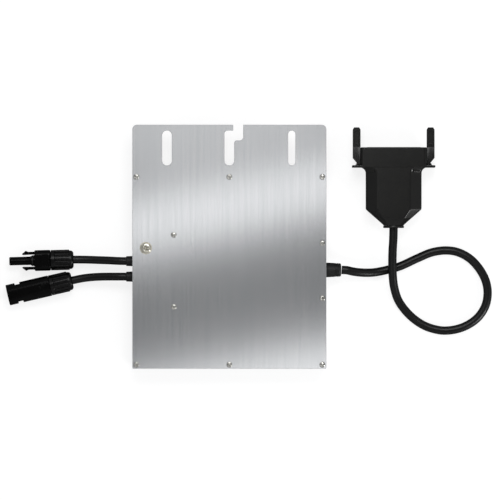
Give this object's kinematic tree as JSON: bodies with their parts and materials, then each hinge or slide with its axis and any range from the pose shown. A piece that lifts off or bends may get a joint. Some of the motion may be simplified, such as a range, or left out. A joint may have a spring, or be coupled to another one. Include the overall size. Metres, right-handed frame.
{
  "type": "micro inverter",
  "caption": "Panel-level solar micro inverter: flat cast tub under a slotted metal plate, two short DC leads with locking connectors, looped AC lead with a wide latching connector.",
  "frame": {"origin": "on the surface it lies on, under the middle of the mounting plate", "axes": "+X towards the alternating-current lead's side, +Y towards the plate's slotted flange, +Z out of the plate's face"},
  "size_m": [0.4298, 0.215, 0.0332],
  "materials": {
    "brushed_aluminium": "fine brushed, satin",
    "cast_aluminium": "as cast, matt",
    "black_rubber": "moulded, matt",
    "zinc_steel": "zinc plated",
    "nickel_steel": "nickel plated, satin",
    "circuit_board": "solder resist",
    "ferrite": "sintered, matt",
    "enamelled_copper": "varnished winding",
    "capacitor_sleeve": "shrunk sleeve",
    "film_yellow": "moulded case",
    "clear_pipe": "clear polished",
    "potting": "cured compound, satin",
    "black_nylon": "moulded, satin",
    "tinned_copper": "tin plated",
    "cable_jacket": "extruded jacket, satin"
  },
  "bodies": {
    "inverter": {"mounting_plate": "brushed_aluminium", "enclosure_tub": "cast_aluminium", "heat_spreader": "cast_aluminium", "lid_gasket": "black_rubber", "dc_strain_relief_upper": "black_rubber", "dc_strain_relief_lower": "black_rubber", "ac_strain_relief": "black_rubber", "dc_plug_seal_ring": "black_rubber", "ac_face_seal": "black_rubber", "lid_screw_1": "zinc_steel", "lid_screw_2": "zinc_steel", "lid_screw_3": "zinc_steel", "lid_screw_4": "zinc_steel", "lid_screw_5": "zinc_steel", "lid_screw_6": "zinc_steel", "lid_screw_7": "zinc_steel", "lid_screw_8": "zinc_steel", "lid_screw_9": "zinc_steel", "lid_screw_10": "zinc_steel", "ground_screw": "nickel_steel", "ground_washer": "nickel_steel", "main_circuit_board": "circuit_board", "signal_board": "circuit_board", "transformer_1_core": "ferrite", "transformer_1_winding": "enamelled_copper", "transformer_2_core": "ferrite", "transformer_2_winding": "enamelled_copper", "bulk_capacitor_1": "capacitor_sleeve", "bulk_capacitor_2": "capacitor_sleeve", "bulk_capacitor_3": "capacitor_sleeve", "bulk_capacitor_4": "capacitor_sleeve", "line_choke": "enamelled_copper", "film_capacitor": "film_yellow", "power_transistor_1": "black_nylon", "power_transistor_2": "black_nylon", "power_transistor_3": "black_nylon", "status_light_pipe": "clear_pipe", "potting_compound": "potting", "dc_plug_housing": "black_nylon", "dc_socket_housing": "black_nylon", "ac_connector_body": "black_nylon", "ac_contact_carrier": "black_nylon", "ac_cable_collar": "black_nylon", "dc_plug_contact": "tinned_copper", "dc_socket_pin": "tinned_copper", "ac_contact_pin_1": "tinned_copper", "ac_contact_pin_2": "tinned_copper", "ac_contact_pin_3": "tinned_copper", "ac_contact_pin_4": "tinned_copper", "ac_cable": "cable_jacket", "dc_cable_upper": "cable_jacket", "dc_cable_lower": "cable_jacket"},
    "plug_ring_slider": {"dc_plug_clamp_ring": "black_nylon"},
    "plug_union_nut": {"dc_plug_nut": "black_nylon"},
    "socket_ring_slider": {"dc_socket_clamp_ring": "black_nylon"},
    "socket_union_nut": {"dc_socket_nut": "black_nylon"},
    "plug_latch_upper": {"dc_plug_latch_upper": "black_nylon"},
    "plug_latch_lower": {"dc_plug_latch_lower": "black_nylon"},
    "ac_latch_left": {"ac_latch_left": "black_nylon"},
    "ac_latch_right": {"ac_latch_right": "black_nylon"}
  },
  "joints": [
    {"name": "plug_ring_slide", "type": "slide", "parent": "inverter", "child": "plug_ring_slider", "axis": [0.9997, 0.0262, 0], "range_m": [0, 0.0045]},
    {"name": "plug_nut_turn", "type": "hinge", "parent": "plug_ring_slider", "child": "plug_union_nut", "pos_m": [-0.1378, -0.0114, 0.009], "axis": [0.9997, 0.0262, 0], "range_deg": [0, 1080]},
    {"name": "socket_ring_slide", "type": "slide", "parent": "inverter", "child": "socket_ring_slider", "axis": [0.9744, 0.225, 0], "range_m": [0, 0.0045]},
    {"name": "socket_nut_turn", "type": "hinge", "parent": "socket_ring_slider", "child": "socket_union_nut", "pos_m": [-0.139, -0.0298, 0.009], "axis": [0.9744, 0.225, 0], "range_deg": [0, 1080]},
    {"name": "plug_latch_upper_flex", "type": "hinge", "parent": "inverter", "child": "plug_latch_upper", "pos_m": [-0.16946, -0.00558, 0.009], "axis": [0, 0, 1], "range_deg": [0, 4], "stiffness_Nm_per_rad": 0.3},
    {"name": "plug_latch_lower_flex", "type": "hinge", "parent": "inverter", "child": "plug_latch_lower", "pos_m": [-0.16911, -0.01887, 0.009], "axis": [0, 0, -1], "range_deg": [0, 4], "stiffness_Nm_per_rad": 0.3},
    {"name": "ac_latch_left_flex", "type": "hinge", "parent": "inverter", "child": "ac_latch_left", "pos_m": [0.11405, 0.073, 0.0135], "axis": [0, 0, 1], "range_deg": [0, 4], "stiffness_Nm_per_rad": 1},
    {"name": "ac_latch_right_flex", "type": "hinge", "parent": "inverter", "child": "ac_latch_right", "pos_m": [0.17605, 0.073, 0.0135], "axis": [0, 0, -1], "range_deg": [0, 4], "stiffness_Nm_per_rad": 1}
  ],
  "couplings": [
    {"joint": "plug_nut_turn", "follows": "plug_ring_slide", "rad_per_m": 4188.8},
    {"joint": "socket_nut_turn", "follows": "socket_ring_slide", "rad_per_m": 4188.8}
  ]
}
